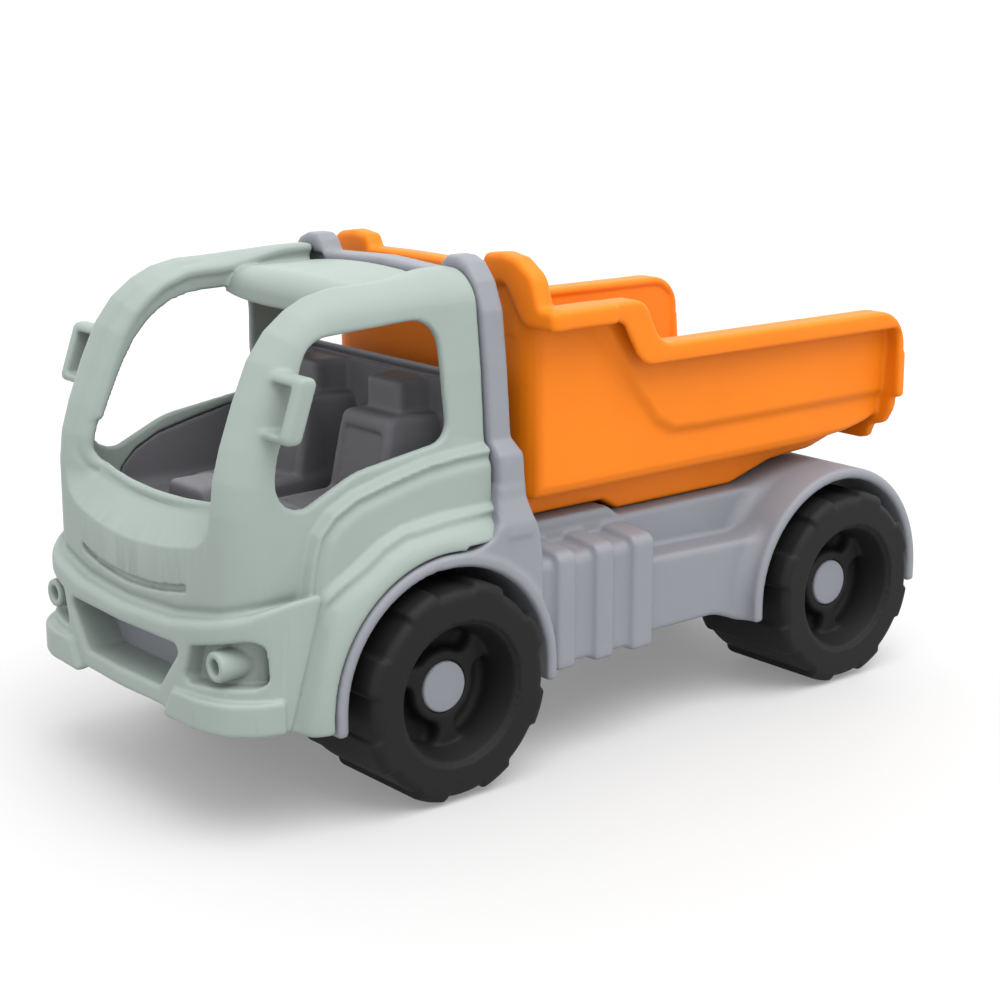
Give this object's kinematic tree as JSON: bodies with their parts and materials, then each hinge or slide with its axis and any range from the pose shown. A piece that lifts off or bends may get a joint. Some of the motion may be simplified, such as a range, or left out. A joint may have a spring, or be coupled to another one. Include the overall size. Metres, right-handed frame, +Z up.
{
  "type": "toy dump truck",
  "caption": "Moulded plastic toy lorry with an open-windowed cab, a rear-hinged tipping bin and free-rolling wheels.",
  "frame": {"origin": "on the ground under the middle of the truck's overall box", "axes": "+Z up, -Y towards the nose of the truck, +X towards the truck's left side"},
  "size_m": [0.132, 0.2768, 0.1528],
  "materials": {
    "sage_plastic": "satin moulded plastic, sage green",
    "grey_plastic": "satin moulded plastic, blue-grey",
    "orange_plastic": "satin moulded plastic, orange",
    "black_plastic": "matt moulded plastic, charcoal",
    "steel": "bright zinc-plated steel"
  },
  "bodies": {
    "truck": {"chassis": "grey_plastic", "cab_collar": "grey_plastic", "cab_shell": "sage_plastic", "cab_interior": "grey_plastic", "bin_hinge_pin": "steel", "front_axle_retainer": "grey_plastic", "rear_axle_retainer": "grey_plastic", "front_retainer_screw_1": "steel", "front_retainer_screw_2": "steel", "rear_retainer_screw_1": "steel", "rear_retainer_screw_2": "steel", "cab_screw_left": "steel", "cab_screw_right": "steel"},
    "front_wheelset": {"front_axle": "steel", "wheel_front_left": "black_plastic", "wheel_front_right": "black_plastic", "hub_cap_front_left": "grey_plastic", "hub_cap_front_right": "grey_plastic"},
    "rear_wheelset": {"rear_axle": "steel", "wheel_rear_left": "black_plastic", "wheel_rear_right": "black_plastic", "hub_cap_rear_left": "grey_plastic", "hub_cap_rear_right": "grey_plastic"},
    "bin": {"dump_bin": "orange_plastic"}
  },
  "joints": [
    {"name": "front_axle_spin", "type": "hinge", "parent": "truck", "child": "front_wheelset", "pos_m": [0, -0.0665, 0.0325], "axis": [1, 0, 0], "continuous": true},
    {"name": "rear_axle_spin", "type": "hinge", "parent": "truck", "child": "rear_wheelset", "pos_m": [0, 0.0985, 0.0325], "axis": [1, 0, 0], "continuous": true},
    {"name": "bin_tip", "type": "hinge", "parent": "truck", "child": "bin", "pos_m": [0, 0.112, 0.068], "axis": [-1, 0, 0], "range_deg": [0, 50]}
  ]
}
